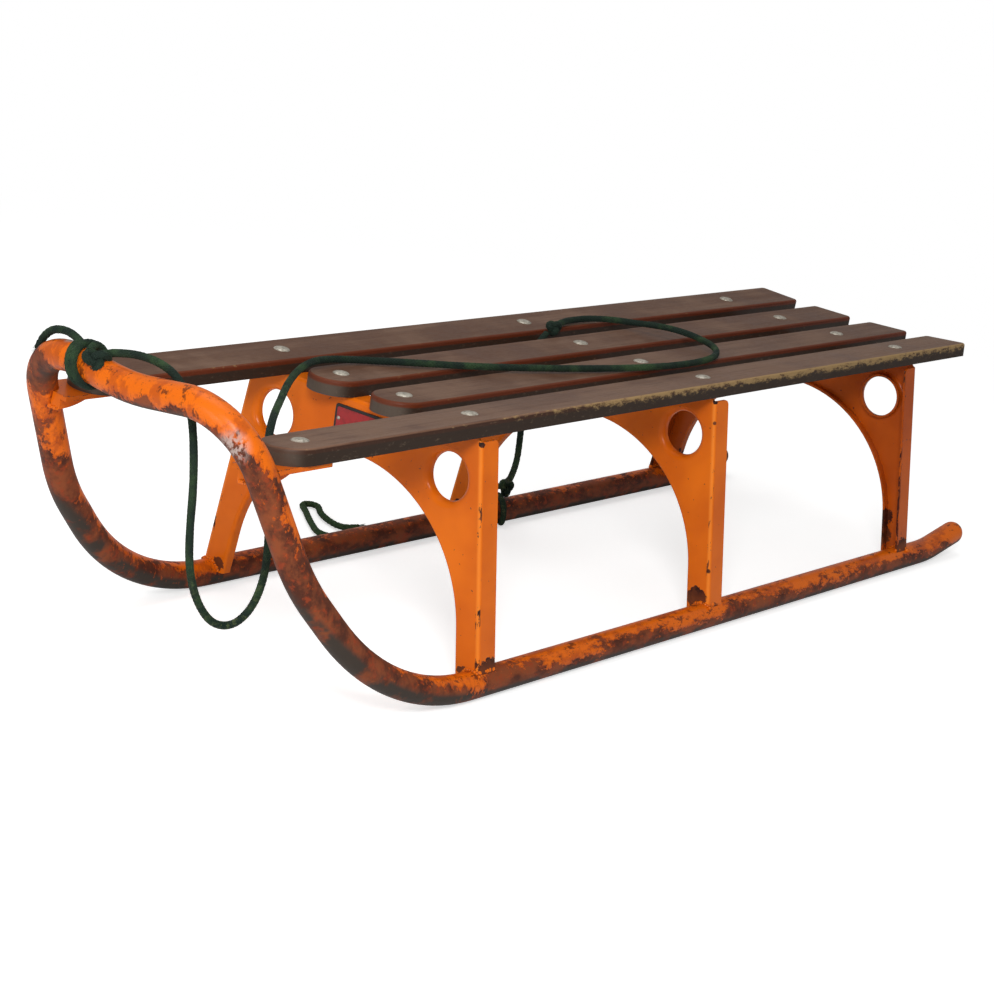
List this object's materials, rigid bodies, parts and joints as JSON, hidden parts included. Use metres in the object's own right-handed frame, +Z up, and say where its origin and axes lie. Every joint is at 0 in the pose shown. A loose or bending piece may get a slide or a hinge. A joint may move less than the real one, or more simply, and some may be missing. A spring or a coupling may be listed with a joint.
{
  "type": "snow sled",
  "caption": "Snow sled with tubular steel runners that rise into a hooped bow, pressed-steel bridges and a flat slatted seat.",
  "frame": {"origin": "on the ground under the middle of the sled's overall box, midway between the runners", "axes": "+Z up, -Y towards the bow, +X towards the sled's left side as a rider facing the bow sees it, lengths along Y"},
  "size_m": [0.4598, 1.1477, 0.2834],
  "materials": {
    "rusted_tube": "worn paint over rusted steel",
    "painted_sheet": "glossy enamel, chipped",
    "slat_wood": "weathered varnish",
    "braided_rope": "braided, matt"
  },
  "bodies": {
    "root": {"runner_left": "rusted_tube", "runner_right": "rusted_tube", "bow": "rusted_tube", "front_bridge": "painted_sheet", "middle_bridge": "painted_sheet", "rear_bridge": "painted_sheet", "slat_left_outer": "slat_wood", "slat_left_inner": "slat_wood", "slat_right_inner": "slat_wood", "slat_right_outer": "slat_wood", "tab_left": "painted_sheet", "tab_right": "painted_sheet", "bow_wrap": "braided_rope", "bow_knot": "braided_rope", "seat_knot": "braided_rope", "runner_knot": "braided_rope", "rope_bow_end": "braided_rope", "rope_haul": "braided_rope", "rope_drop": "braided_rope", "rope_ground_end": "braided_rope"}
  },
  "joints": []
}
